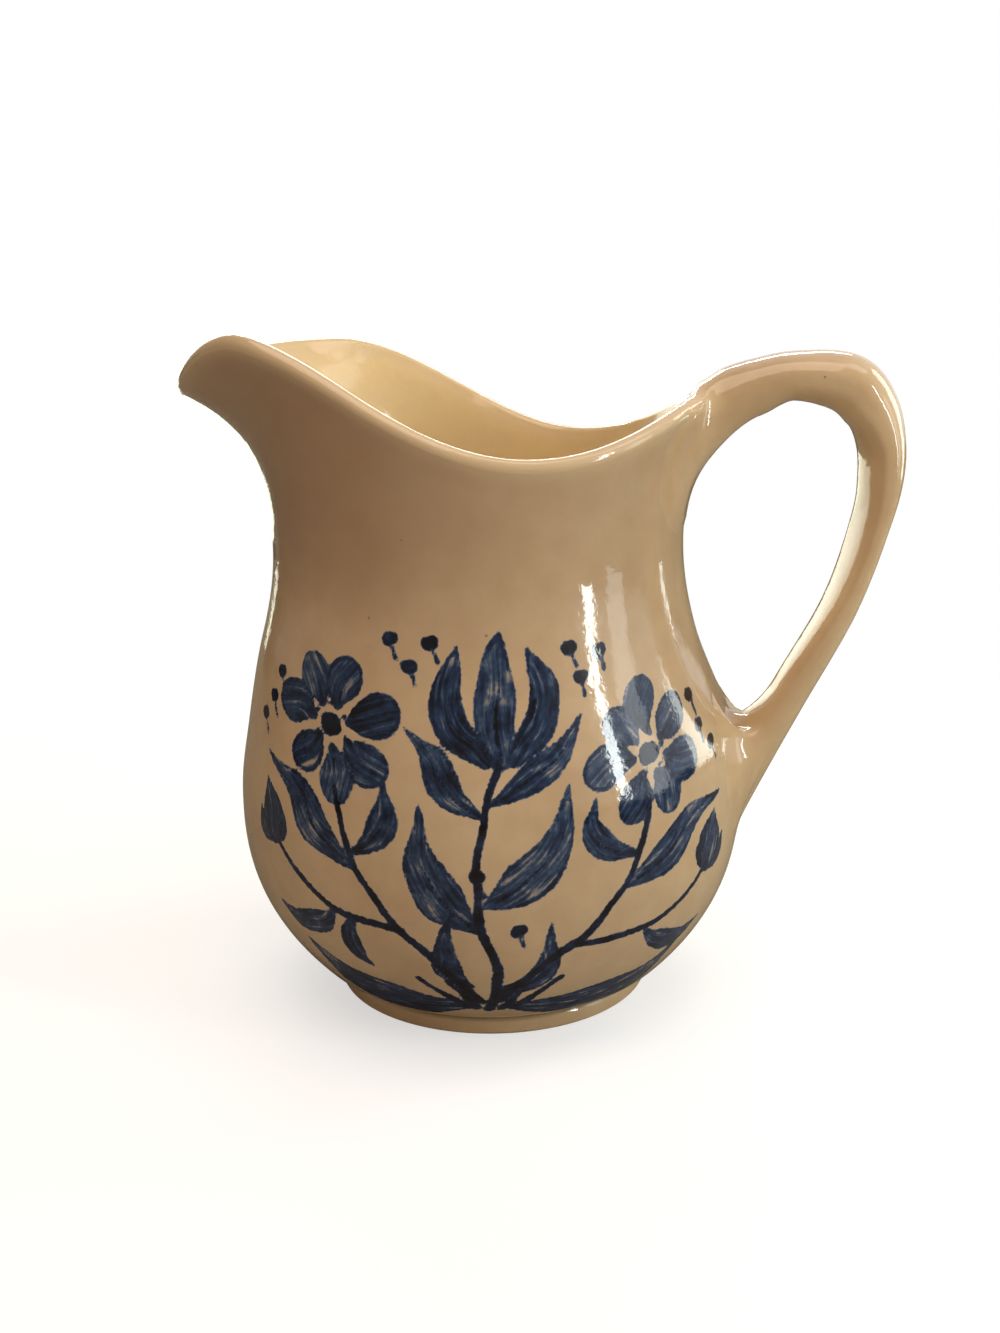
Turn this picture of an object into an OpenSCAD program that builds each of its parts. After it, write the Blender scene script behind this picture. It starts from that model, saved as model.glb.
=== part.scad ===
// Glazed stoneware pitcher: pear-shaped body on a low foot ring, broad drawn-up
// spout towards -X and a thick loop handle towards +X. Millimetres, +Z up, origin
// at the centre of the foot on the table.

/* [Foot] */
// Radius of the foot ring where it is widest
foot_r = 48.9; // [45:0.1:53]
// Height of the groove that parts the foot ring from the wall
foot_h = 5.5; // [4:0.1:9]
// Radial width of the foot ring
foot_w = 8; // [5:0.5:11]
// Height of the hollow under the base
foot_hollow = 3; // [1.5:0.1:3.5]
// Depth of the groove above the foot ring
groove_depth = 2; // [0.5:0.1:2.5]
// Height over which the groove fades into the wall
groove_soft = 2.2; // [1:0.1:4]
// Radius that rounds the foot ring's outer edge under
foot_round = 2.2; // [0.5:0.1:2.7]

/* [Body] */
// Radius of the wall where it rises from the groove, before the groove is cut
base_r = 51.2; // [48:0.1:56]
// Radius of the belly at its widest
belly_r = 77.4; // [70:0.1:84]
// Height of the belly's widest ring
belly_z = 62; // [54:0.5:70]
// Fullness of the bowl below the belly, a power
bowl_curve = 2.42; // [2:0.05:2.8]
// Radius of the waist below the mouth
waist_r = 61.8; // [56:0.1:66]
// Height of the waist
waist_z = 139.5; // [132:0.5:146]
// How far the waist leans from the axis towards the spout
neck_shift = 3; // [0:0.1:5]
// Height where the lean is complete
shift_full_z = 113; // [100:1:125]
// Height of the seam between the belly and the neck
seam_z = 78; // [70:1:90]
// Thickness of the wall
wall = 5; // [3.5:0.1:6.5]
// Thickness of the base slab
base_t = 6; // [4.5:0.5:9]
// Radius of the cove inside, where the wall meets the base
cove = 9; // [4:0.5:14]

/* [Mouth] */
// Height of the mouth's lowest point, at both sides
rim_low_z = 168; // [160:0.5:174]
// Direction of the lowest point, in degrees from the spout
rim_low_angle = 111; // [95:1:125]
// Height of the mouth where the handle springs from it
rim_back_z = 183; // [176:0.5:188]
// How soon the mouth's edge falls from the crests, a power
rim_fall_curve = 0.76; // [0.6:0.02:1.3]
// Outward flare of the mouth above the waist
mouth_flare = 2.6; // [0:0.1:6]
// Outward roll of the lip in its last few millimetres
lip_roll = 0.8; // [0:0.1:2]
// Height over which the lip rolls out
lip_band = 7; // [4:0.5:12]
// Height of the level cut on which the rim and the spout are luted to the neck
cut_z = 150; // [146:1:154]

/* [Spout] */
// Distance from the axis to the spout's tip
spout_reach = 93.2; // [84:0.2:102]
// Height of the spout's tip
spout_tip_z = 187.2; // [180:0.2:194]
// Height of the two crests beside the spout
spout_top_z = 200.6; // [192:0.2:208]
// Direction of those crests, in degrees from the spout
spout_top_angle = 42; // [32:1:48]
// How slowly the edge rises from the tip to the crests, a power
spout_tip_curve = 1.3; // [0.9:0.05:1.6]
// Direction where the spout's bulge dies out, in degrees
spout_half_angle = 68; // [56:1:78]
// Narrowness of the spout in plan, a power
spout_taper = 2.2; // [1.5:0.1:4]
// Height where the spout begins to lean out of the neck
spout_from_z = 130; // [118:1:140]
// Sharpness of the spout's throw, a power
spout_throw = 4.5; // [3:0.1:7]
// How far the throw follows the rising edge rather than the tip's level, a share
spout_follow_share = 0.82; // [0:0.02:1]
// Direction of the seam between the spout and the rim, in degrees
spout_seam_angle = 60; // [50:5:75]

/* [Handle] */
// Distance from the axis to the handle's outermost point
handle_reach = 121.5; // [112:0.5:130]
// Rise of the handle's top above the mouth's edge where it springs
handle_rise = 11; // [7:0.5:17]
// Thickness of the handle at its upper bend
handle_bend_t = 15; // [11:0.5:18]
// Thickness of the handle along its long limb
handle_limb_t = 10.8; // [9:0.2:15]
// Width of the handle
handle_w = 24; // [18:0.5:28]
// Height of the middle of the lower root on the belly
lower_root_z = 68; // [60:0.5:70]
// Half the height of the lower root where it meets the belly
lower_root_half_h = 21; // [14:0.5:22]
// Half the width of the lower root where it meets the belly
lower_root_half_w = 17; // [13:0.5:22]
// Distance from the mouth's edge to the handle's first section
upper_root_reach = 12.8; // [9:0.2:16]
// Depth of the upper root down the neck, from the lip
upper_root_depth = 35; // [26:1:40]
// Half the width of the upper root on the neck
upper_root_half_w = 24; // [18:0.5:28]
// Thickness of the slip that lutes both roots to the wall
slip_t = 0.2; // [0.1:0.05:0.5]

/* [Hidden] */

clay = "#C2A47C";
bare_clay = "#B89A78";
round_fn = 96;
step_a = 5;
lip_r = wall / 2;
base_top = foot_hollow + base_t;
handle_x_out = handle_reach - handle_bend_t / 2;
upper_wall_x = mouth_r(rim_back_z) - neck_shift + lip_roll;
upper_x = upper_wall_x + upper_root_reach;
handle_z_high = rim_back_z + handle_rise - handle_bend_t / 2;
wall_steps = 12;
rise_steps = 9;
rise_crowding = 1.4;
lip_steps = 9;
slope_step = lip_band / 100;

// Shares of the handle's span outwards and upwards, along its centre line
handle_path_shares = [[0, 0.978], [0.3, 1.005], [0.72, 0.987], [0.915, 0.926],
    [0.99, 0.848], [1, 0.758], [0.94, 0.652], [0.725, 0.435], [0.385, 0.225]];
// Thickness at each of those points, from the limb's 0 to the bend's 1, and past 1
handle_thick_shares = [1.3, 0.75, 1.45, 1.25, 1.05, 0.75, 0.25, 0, 0.05];
handle_rings = 4;
handle_sides = 32;
root_rings = 8;
finger_flat_power = 0.5;

function clamp01(t) = min(1, max(0, t));
function bend(p, q, r, t) = mix(mix(p, q, t), mix(q, r, t), t);
function ramp(t) = let (u = clamp01(t)) u * u * (3 - 2 * u);
function swell(t) = (1 - cos(180 * clamp01(t))) / 2;
function mix(a, b, t) = a + (b - a) * t;
function fold(a) = abs(a - 360 * round(a / 360));

// Outer radius of the plain revolved form at height z
function bowl_r(z) = mix(base_r, belly_r,
    1 - pow(1 - clamp01((z - foot_h) / (belly_z - foot_h)), bowl_curve));
function shoulder_r(z) = mix(belly_r, waist_r, swell((z - belly_z) / (waist_z - belly_z)));
function mouth_r(z) = waist_r + mouth_flare * pow((z - waist_z) / (rim_low_z - waist_z), 2);
function groove(z) = groove_depth * exp(-pow((z - foot_h) / groove_soft, 2));
function plain_r(z) = z < belly_z ? bowl_r(z) - groove(z) :
    z < waist_z ? shoulder_r(z) : mouth_r(z);
function shift(z) = neck_shift * ramp((z - seam_z) / (shift_full_z - seam_z));

// Height of the lip's crest, by direction from the spout
function tip_rise(d) = swell(pow(d / spout_top_angle, spout_tip_curve));
function side_fall(d) = swell(pow((d - spout_top_angle) / (rim_low_angle - spout_top_angle),
    rim_fall_curve));
function back_rise(d) = swell((d - rim_low_angle) / (180 - rim_low_angle));
function crest_z(a) = let (d = fold(a))
    d < spout_top_angle ? mix(spout_tip_z, spout_top_z, tip_rise(d)) :
    d < rim_low_angle ? mix(spout_top_z, rim_low_z, side_fall(d)) :
        mix(rim_low_z, rim_back_z, back_rise(d));
function lip_z(a) = crest_z(a) - lip_r;

// How far the spout and the rolled lip stand out of the plain form
function spout_out(a) = (spout_reach - mouth_r(spout_tip_z) - neck_shift - lip_roll)
    * pow(cos(90 * clamp01(fold(a) / spout_half_angle)), spout_taper);
function throw_z(a) = mix(lip_z(0), lip_z(a), spout_follow_share);
function spout_rise(a, z) = pow(clamp01((z - spout_from_z) / (throw_z(a) - spout_from_z)),
    spout_throw);
function roll_out(a, z) = lip_roll * pow(clamp01(1 - (lip_z(a) - z) / lip_band), 2);

// The wall's middle surface, and points set off from it, outwards or inwards.
// Above the level cut they are set off square to the wall.
function middle_r(a, z) = plain_r(z) + shift(z) * cos(a) + roll_out(a, z)
    + spout_out(a) * spout_rise(a, z) - lip_r;
function slope(a, z) = (middle_r(a, z) - middle_r(a, z - slope_step)) / slope_step;
function tilt(a, z) = atan(slope(a, z)) * ramp((z - cut_z) / lip_band);
function place(a, r, z) = [-r * cos(a), -r * sin(a), z];
function wall_point(a, z, off) = let (b = tilt(a, z))
    place(a, middle_r(a, z) + off * cos(b), z - off * sin(b));

// Triangles of a skin of rings, and the strip that closes a section of n points
function quad(a, b, c, d) = [[a, c, b], [a, d, c]];
function skin_faces(rings, n, wrap) = [
    for (i = [0 : rings - (wrap ? 1 : 2)], j = [0 : n - 1])
        let (k = (i + 1) % rings, m = (j + 1) % n)
            each quad(i * n + j, k * n + j, k * n + m, i * n + m)];
function strip(first, n, back) = [
    for (i = [0 : n / 2 - 2])
        let (a = first + i, b = first + i + 1, c = first + n - 2 - i, d = first + n - 1 - i)
            each back ? quad(d, c, b, a) : quad(a, b, c, d)];
function fan(first, n, back) = [
    for (i = [1 : n - 2])
        back ? [first, first + i, first + i + 1] : [first, first + i + 1, first + i]];
function flat(list) = [for (row = list) each row];

// One upright section through the wall: up the outside, down the inside
function wall_section(a, z0, z1) = [
    for (i = [0 : wall_steps]) wall_point(a, mix(z0, z1, i / wall_steps), lip_r),
    for (i = [wall_steps : -1 : 0]) wall_point(a, mix(z0, z1, i / wall_steps), -lip_r)];

// The same with the rounded lip on top
function lip_point(a, turn_a, off) = let (z = lip_z(a), b = turn_a - tilt(a, z))
    place(a, middle_r(a, z) + off * cos(b), z + off * sin(b));
function rise(a, i) = mix(cut_z, lip_z(a), 1 - pow(1 - i / rise_steps, rise_crowding));
function lip_section(a) = [
    for (i = [0 : rise_steps - 1]) wall_point(a, rise(a, i), lip_r),
    for (i = [0 : lip_steps]) lip_point(a, 180 * i / lip_steps, lip_r),
    for (i = [rise_steps - 1 : -1 : 0]) wall_point(a, rise(a, i), -lip_r)];
module lip_sector(from_a, to_a) {
    count = round((to_a - from_a) / step_a);
    rings = [for (i = [0 : count]) lip_section(mix(from_a, to_a, i / count))];
    n = len(rings[0]);
    polyhedron(flat(rings), concat(skin_faces(count + 1, n, false),
        strip(0, n, false), strip(count * n, n, true)), convexity = 6);
}

module foot_ring() {
    steps = 6;
    color(bare_clay)
    rotate_extrude($fn = round_fn)
    polygon([
        [foot_r - foot_w, 0],
        for (i = [0 : steps])
            let (a = 90 * i / steps)
                [foot_r - foot_round + foot_round * sin(a), foot_round - foot_round * cos(a)],
        for (i = [1 : steps])
            let (z = mix(foot_round, foot_h, i / steps))
                [mix(foot_r, plain_r(foot_h), swell(i / steps)), z],
        [foot_r - foot_w, foot_h]]);
}

module base() {
    steps = 8;
    color(clay)
    rotate_extrude($fn = round_fn)
    polygon([
        [0, foot_hollow],
        [foot_r - foot_w, foot_hollow],
        [foot_r - foot_w, foot_h],
        [plain_r(foot_h) - wall, foot_h],
        for (i = [1 : steps])
            let (z = mix(foot_h, base_top + cove, i / steps)) [plain_r(z) - wall, z],
        for (i = [1 : steps])
            bend([plain_r(base_top + cove) - wall, base_top + cove],
                [plain_r(base_top) - wall, base_top],
                [plain_r(base_top) - wall - cove, base_top], i / steps),
        [0, base_top]]);
}

module belly() {
    steps = 24;
    color(clay)
    rotate_extrude($fn = round_fn)
    polygon([
        for (i = [0 : steps]) let (z = mix(foot_h, seam_z, i / steps)) [plain_r(z), z],
        for (i = [steps : -1 : 0]) let (z = mix(foot_h, seam_z, i / steps)) [plain_r(z) - wall, z]]);
}

module neck() {
    count = 360 / step_a;
    rings = [for (i = [0 : count - 1]) wall_section(i * step_a, seam_z, cut_z)];
    n = len(rings[0]);
    color(clay)
    polyhedron(flat(rings), skin_faces(count, n, true), convexity = 6);
}

module rim() {
    color(clay)
    lip_sector(spout_seam_angle, 360 - spout_seam_angle);
}

module spout() {
    color(clay)
    lip_sector(-spout_seam_angle, spout_seam_angle);
}

// Handle: centre line, thickness and D-shaped sections with a flat finger face
function handle_spot(i) = let (k = max(0, min(len(handle_path_shares) - 1, i)),
        s = handle_path_shares[k])
    [mix(mix(belly_r, upper_x, s[1]), handle_x_out, s[0]), 0,
        mix(lower_root_z, handle_z_high, s[1])];
function handle_thick(i) = let (k = max(0, min(len(handle_path_shares) - 1, i)))
    mix(handle_limb_t, handle_bend_t, handle_thick_shares[k]);
function through(p0, p1, p2, p3, t) = 0.5 * (2 * p1 + (p2 - p0) * t
    + (2 * p0 - 5 * p1 + 4 * p2 - p3) * t * t + (3 * p1 - p0 - 3 * p2 + p3) * t * t * t);
function along(u, spot) = let (i = min(len(handle_path_shares) - 2, floor(u)), t = u - i)
    spot == 0 ?
        through(handle_spot(i - 1), handle_spot(i), handle_spot(i + 1), handle_spot(i + 2), t) :
        through(handle_thick(i - 1), handle_thick(i), handle_thick(i + 1), handle_thick(i + 2), t);
function unit(v) = v / norm(v);
path_end = len(handle_path_shares) - 1;
nudge = 0.01;
function heading(u) = unit(along(min(path_end, u + nudge), 0) - along(max(0, u - nudge), 0));
function outward(u) = let (h = heading(u)) [-h[2], 0, h[0]];
function d_high(b) = cos(b) > 0 ? cos(b) : -pow(-cos(b), finger_flat_power);
function handle_ring(u) = [
    for (j = [0 : handle_sides - 1])
        let (b = 360 * j / handle_sides)
            along(u, 0) + outward(u) * d_high(b) * along(u, 1) / 2
                + [0, handle_w / 2 * sin(b), 0]];

module handle() {
    count = path_end * handle_rings;
    rings = [for (i = [0 : count]) handle_ring(i / handle_rings)];
    n = handle_sides;
    color(clay)
    polyhedron(flat(rings), concat(skin_faces(count + 1, n, false),
        fan(0, n, false), fan(count * n, n, true)), convexity = 6);
}

// Roots: smooth trumpets from a handle section to a footprint on the wall
seat = lip_r + slip_t;
function upper_foot(b, share) =
    let (a = 180 + share * sin(b) * upper_root_half_w / plain_r(waist_z) * 180 / PI,
        down = upper_root_depth / 2 * (1 - share * cos(b)),
        curl = lip_r * PI / 2)
        down > curl ? wall_point(a, lip_z(a) + curl - down, seat) :
            lip_point(a, 90 * (1 - down / curl), seat);
function lower_foot(b, share) =
    let (a = 180 + share * sin(b) * lower_root_half_w / belly_r * 180 / PI)
        wall_point(a, lower_root_z - share * lower_root_half_h * cos(b), seat);
function trumpet(p0, t0, p1, t1, s) = (2 * s * s * s - 3 * s * s + 1) * p0
    + (s * s * s - 2 * s * s + s) * t0 + (3 * s * s - 2 * s * s * s) * p1
    + (s * s * s - s * s) * t1;

module root(rings, cap_rings, back) {
    n = handle_sides;
    all_rings = concat(cap_rings, rings);
    count = len(all_rings);
    faces = concat(skin_faces(count, n, false), fan(0, n, false), fan((count - 1) * n, n, true));
    polyhedron(flat(all_rings), back ? [for (f = faces) [f[2], f[1], f[0]]] : faces, convexity = 6);
}

cap_shares = [0.04, 0.3, 0.6, 0.78, 0.84, 0.9, 0.95];
upper_pull_share = 1.5;
upper_lift_share = 1.2;
lower_pull_share = 0.4;
upper_push_share = 1.1;
lower_push_share = 0.95;
upper_lift = [1, 0, 1.5];

module upper_root() {
    section = handle_ring(0);
    middle = upper_foot(0, 0);
    span = norm(along(0, 0) - middle);
    function pull(j) =
        let (b = 360 * j / handle_sides, top = pow(max(0, cos(b)), 2))
            mix(upper_pull_share * (middle - upper_foot(b, 1)),
                upper_lift_share * span * unit(upper_lift), top);
    color(clay)
    root([for (i = [0 : root_rings]) [for (j = [0 : handle_sides - 1])
            trumpet(upper_foot(360 * j / handle_sides, 1), pull(j), section[j],
                heading(0) * span * upper_push_share, i / root_rings)]],
        [for (s = cap_shares) [for (j = [0 : handle_sides - 1])
            upper_foot(360 * j / handle_sides, s)]], false);
}

module lower_root() {
    section = handle_ring(path_end);
    middle = lower_foot(0, 0);
    span = norm(along(path_end, 0) - middle);
    color(clay)
    root([for (i = [0 : root_rings]) [for (j = [0 : handle_sides - 1])
            let (b = 360 * j / handle_sides, foot = lower_foot(b, 1))
                trumpet(foot, lower_pull_share * (middle - foot), section[j],
                    -heading(path_end) * span * lower_push_share, i / root_rings)]],
        [for (s = cap_shares) [for (j = [0 : handle_sides - 1])
            lower_foot(360 * j / handle_sides, s)]], true);
}

foot_ring();
base();
belly();
neck();
rim();
spout();
upper_root();
handle();
lower_root();
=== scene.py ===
"""Looks for the glazed stoneware pitcher: one continuous thrown wall, a foot ring with a
bare tread and a pulled loop handle, under a glossy buff glaze with a freehand cobalt
flower spray on the front. Sizes are in millimetres until a mesh is made."""

import math

import bpy
import numpy as np
from mathutils import Matrix, Vector
from mathutils.bvhtree import BVHTree


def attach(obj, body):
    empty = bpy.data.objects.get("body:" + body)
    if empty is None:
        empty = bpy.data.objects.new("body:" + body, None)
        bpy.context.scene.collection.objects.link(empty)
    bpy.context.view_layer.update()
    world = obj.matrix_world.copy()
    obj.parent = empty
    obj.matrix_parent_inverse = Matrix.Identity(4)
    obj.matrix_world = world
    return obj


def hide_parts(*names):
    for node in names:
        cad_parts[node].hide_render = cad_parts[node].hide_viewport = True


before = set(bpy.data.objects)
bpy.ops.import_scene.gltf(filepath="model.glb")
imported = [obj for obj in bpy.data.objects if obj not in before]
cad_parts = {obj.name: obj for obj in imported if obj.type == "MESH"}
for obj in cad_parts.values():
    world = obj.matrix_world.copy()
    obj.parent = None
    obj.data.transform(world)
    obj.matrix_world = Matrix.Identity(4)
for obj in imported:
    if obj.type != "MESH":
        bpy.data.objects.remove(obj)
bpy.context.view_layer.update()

MM = 0.001

# Foot, body and mouth
FOOT_R, FOOT_H, FOOT_W, FOOT_HOLLOW, FOOT_ROUND = 48.9, 5.5, 8.0, 3.0, 2.2
GROOVE_DEPTH, GROOVE_SOFT = 2.0, 2.2
BASE_R, BELLY_R, BELLY_Z, BOWL_CURVE = 51.2, 77.38, 62.0, 2.42
WAIST_R, WAIST_Z, NECK_SHIFT, SHIFT_FULL_Z, SEAM_Z = 61.8, 139.5, 3.0, 113.0, 78.0
WALL, BASE_T, COVE = 5.0, 6.0, 9.0
RIM_LOW_Z, RIM_LOW_ANGLE, RIM_BACK_Z, RIM_FALL_CURVE = 168.0, 111.0, 183.0, 0.76
MOUTH_FLARE, LIP_ROLL, LIP_BAND, CUT_Z = 2.6, 0.8, 7.0, 150.0

# Spout
SPOUT_REACH, SPOUT_TIP_Z, SPOUT_TOP_Z, SPOUT_TOP_ANGLE = 92.8, 187.2, 200.45, 42.0
SPOUT_TIP_CURVE, SPOUT_HALF_ANGLE, SPOUT_TAPER = 1.3, 68.0, 2.2
SPOUT_FROM_Z, SPOUT_THROW, SPOUT_FOLLOW_SHARE = 130.0, 4.5, 0.82
# The thrower's hand left the far side of the mouth a little flatter
FAR_TOP_Z, FAR_LOW_Z, FAR_TIP_CURVE, FAR_FALL_CURVE = 199.0, 169.0, 0.5, 0.85

# Handle and its roots
HANDLE_REACH, HANDLE_TOP_Z, HANDLE_W = 121.5, 194.0, 24.0
HANDLE_BEND_T, HANDLE_LIMB_T = 15.0, 10.8
LOWER_ROOT_Z, UPPER_ROOT_REACH = 68.0, 12.8

LIP_R = WALL / 2
BASE_TOP = FOOT_HOLLOW + BASE_T
FINE_STEP = LIP_BAND / 100


def clamp01(t):
    return np.clip(t, 0.0, 1.0)


def ramp(t):
    t = clamp01(t)
    return t * t * (3 - 2 * t)


def swell(t):
    return (1 - np.cos(np.pi * clamp01(t))) / 2


def mix(a, b, t):
    return a + (b - a) * t


def blend(value, span):
    """0 at the start of a span (start, end), 1 at its end, smooth between."""
    return ramp((value - span[0]) / (span[1] - span[0]))


def catmull_rom(p0, p1, p2, p3, t):
    """The smooth curve from p1 to p2, towards and away from their neighbours."""
    return 0.5 * (2 * p1 + (p2 - p0) * t + (2 * p0 - 5 * p1 + 4 * p2 - p3) * t ** 2
                  + (3 * p1 - p0 - 3 * p2 + p3) * t ** 3)


# The thrown wall. Angles are in degrees round the axis: 0 at the spout, 90 at the
# front, 180 at the handle.


def groove(z):
    return GROOVE_DEPTH * np.exp(-(((z - FOOT_H) / GROOVE_SOFT) ** 2))


def mouth_r(z):
    return WAIST_R + MOUTH_FLARE * ((z - WAIST_Z) / (RIM_LOW_Z - WAIST_Z)) ** 2


def plain_r(z):
    """Outer radius of the plain revolved form."""
    z = np.asarray(z, float)
    up_bowl = clamp01((z - FOOT_H) / (BELLY_Z - FOOT_H))
    bowl = mix(BASE_R, BELLY_R, 1 - (1 - up_bowl) ** BOWL_CURVE)
    shoulder = mix(BELLY_R, WAIST_R, swell((z - BELLY_Z) / (WAIST_Z - BELLY_Z)))
    return np.where(z < BELLY_Z, bowl - groove(z), np.where(z < WAIST_Z, shoulder, mouth_r(z)))


def neck_lean(z):
    return NECK_SHIFT * blend(z, (SEAM_Z, SHIFT_FULL_Z))


def off_spout(a):
    """Degrees off the spout, to either side."""
    return np.abs(a - 360 * np.round(np.asarray(a, float) / 360))


def crest_z(a):
    """Height of the mouth's edge: up from the tip to the crests, down, and up at the back."""
    d = off_spout(a)
    far = np.sin(np.radians(a)) < 0
    top_z, low_z = np.where(far, FAR_TOP_Z, SPOUT_TOP_Z), np.where(far, FAR_LOW_Z, RIM_LOW_Z)
    tip_curve = np.where(far, FAR_TIP_CURVE, SPOUT_TIP_CURVE)
    fall_curve = np.where(far, FAR_FALL_CURVE, RIM_FALL_CURVE)
    tip = mix(SPOUT_TIP_Z, top_z, swell(clamp01(d / SPOUT_TOP_ANGLE) ** tip_curve))
    fall = clamp01((d - SPOUT_TOP_ANGLE) / (RIM_LOW_ANGLE - SPOUT_TOP_ANGLE)) ** fall_curve
    side = mix(top_z, low_z, swell(fall))
    back = mix(low_z, RIM_BACK_Z, swell((d - RIM_LOW_ANGLE) / (180 - RIM_LOW_ANGLE)))
    return np.where(d < SPOUT_TOP_ANGLE, tip, np.where(d < RIM_LOW_ANGLE, side, back))


def lip_z(a):
    return crest_z(a) - LIP_R


def spout_out(a):
    full = SPOUT_REACH - mouth_r(SPOUT_TIP_Z) - NECK_SHIFT - LIP_ROLL
    share = clamp01(off_spout(a) / SPOUT_HALF_ANGLE)
    return full * np.cos(np.radians(90 * share)) ** SPOUT_TAPER


def middle_r(a, z):
    """Radius of the wall's middle surface."""
    throw_z = mix(lip_z(0.0), lip_z(a), SPOUT_FOLLOW_SHARE)
    rise = clamp01((z - SPOUT_FROM_Z) / (throw_z - SPOUT_FROM_Z)) ** SPOUT_THROW
    roll = LIP_ROLL * clamp01(1 - (lip_z(a) - z) / LIP_BAND) ** 2
    return (plain_r(z) + neck_lean(z) * np.cos(np.radians(a)) + roll
            + spout_out(a) * rise - LIP_R)


def tilt(a, z):
    slope = (middle_r(a, z) - middle_r(a, z - FINE_STEP)) / FINE_STEP
    return np.arctan(slope) * ramp((z - CUT_Z) / LIP_BAND)


def place(a, r, z):
    rad = np.radians(a)
    r, z, rad = np.broadcast_arrays(r, z, rad)
    return np.stack([-r * np.cos(rad), -r * np.sin(rad), z], axis=-1)


def column_angle(points):
    return 180 + np.degrees(np.arctan2(-points[:, 1], points[:, 0]))


def wall_point(a, z, off):
    """A point set off square from the wall's middle surface, outwards or inwards."""
    lean = tilt(a, z)
    return place(a, middle_r(a, z) + off * np.cos(lean), z - off * np.sin(lean))


def lip_point(a, around, off):
    """A point round the lip: 0 degrees outside, 90 on the crest, 180 inside."""
    z = lip_z(a)
    turn = np.radians(around) - tilt(a, z)
    return place(a, middle_r(a, z) + off * np.cos(turn), z + off * np.sin(turn))


# Meshes

SMOOTH_ANGLE = math.radians(60)
scene = bpy.context.scene


def shown(name, mesh):
    """Shade a mesh smooth and put it in the scene."""
    mesh.shade_smooth()
    mesh.set_sharp_from_angle(angle=SMOOTH_ANGLE)
    made = bpy.data.objects.new(name, mesh)
    scene.collection.objects.link(made)
    return made


def mesh_object(name, points_mm, faces):
    mesh = bpy.data.meshes.new(name)
    mesh.from_pydata([tuple(p) for p in np.asarray(points_mm) * MM], [], faces)
    mesh.validate()
    return shown(name, mesh)


def grid_faces(rows, columns):
    """Quads between successive rows, row by row, closed round the columns."""
    return [(i * columns + j, i * columns + (j + 1) % columns,
             (i + 1) * columns + (j + 1) % columns, (i + 1) * columns + j)
            for i in range(rows - 1) for j in range(columns)]


# The glazed wall: rows run from the middle of the underside, up the outside, over
# the lip and down the inside to the middle of the floor. The columns are finest on
# the front, where the painting is.
SPOUT_SIDE, FRONT_FROM, FRONT_TO, HANDLE_SIDE = -56.0, 28.0, 166.0, 214.0
SPOUT_STEP, FRONT_STEP, ROOT_STEP, BACK_STEP = 2.4, 0.7, 1.2, 4.2
UNDER_RADII, FLOOR_RADII = (8.0, 24.0), (33.0, 25.0, 17.0, 9.0, 3.0)
GROOVE_ROW, GROOVE_ROWS_TOP, WALL_ROW = 0.5, 10.0, 0.8
RISE_ROWS, LIP_ROWS, INNER_RISE_ROWS, INNER_ROWS, COVE_ROWS = 34, 14, 24, 36, 8
RISE_CROWDING, INNER_ROWS_DOWN, EASE_ROWS = 1.5, 3.5, 5
columns = np.concatenate([
    np.arange(SPOUT_SIDE, FRONT_FROM, SPOUT_STEP),
    np.arange(FRONT_FROM, FRONT_TO, FRONT_STEP),
    np.arange(FRONT_TO, HANDLE_SIDE, ROOT_STEP),
    np.arange(HANDLE_SIDE, 360 + SPOUT_SIDE, BACK_STEP),
])
rows = []


def row(points):
    rows.append(np.broadcast_to(points, (len(columns), 3)))


def rising(i, count):
    """The height of one of a number of rows from the cut to the lip, crowded upwards."""
    return mix(CUT_Z, lip_z(columns), 1 - (1 - i / count) ** RISE_CROWDING)


foot_inner_r = FOOT_R - FOOT_W
for r in UNDER_RADII + (foot_inner_r,):
    row(place(columns, r, FOOT_HOLLOW))
row(place(columns, foot_inner_r, FOOT_H))
row(place(columns, plain_r(FOOT_H) - LIP_R, FOOT_H))
outer_first = len(rows)
for z in np.concatenate([np.arange(FOOT_H, GROOVE_ROWS_TOP, GROOVE_ROW),
                         np.arange(GROOVE_ROWS_TOP, CUT_Z, WALL_ROW)]):
    row(wall_point(columns, z, LIP_R))
for i in range(RISE_ROWS):
    row(wall_point(columns, rising(i, RISE_ROWS), LIP_R))
lip_first = len(rows)
for i in range(LIP_ROWS + 1):
    row(lip_point(columns, 180 * i / LIP_ROWS, LIP_R))
lip_last = len(rows) - 1
for i in reversed(range(INNER_RISE_ROWS)):
    row(wall_point(columns, rising(i, INNER_RISE_ROWS), -LIP_R))
for z in np.linspace(CUT_Z - INNER_ROWS_DOWN, BASE_TOP + COVE, INNER_ROWS):
    row(wall_point(columns, z, -LIP_R))
cove_top_r, cove_foot_r = plain_r(BASE_TOP + COVE) - WALL, plain_r(BASE_TOP) - WALL
for t in np.arange(1, COVE_ROWS + 1) / COVE_ROWS:
    r = mix(mix(cove_top_r, cove_foot_r, t), mix(cove_foot_r, cove_foot_r - COVE, t), t)
    row(place(columns, r, mix(mix(BASE_TOP + COVE, BASE_TOP, t), BASE_TOP, t)))
for r in FLOOR_RADII:
    row(place(columns, r, BASE_TOP))

wall_rows = np.array(rows)
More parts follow.
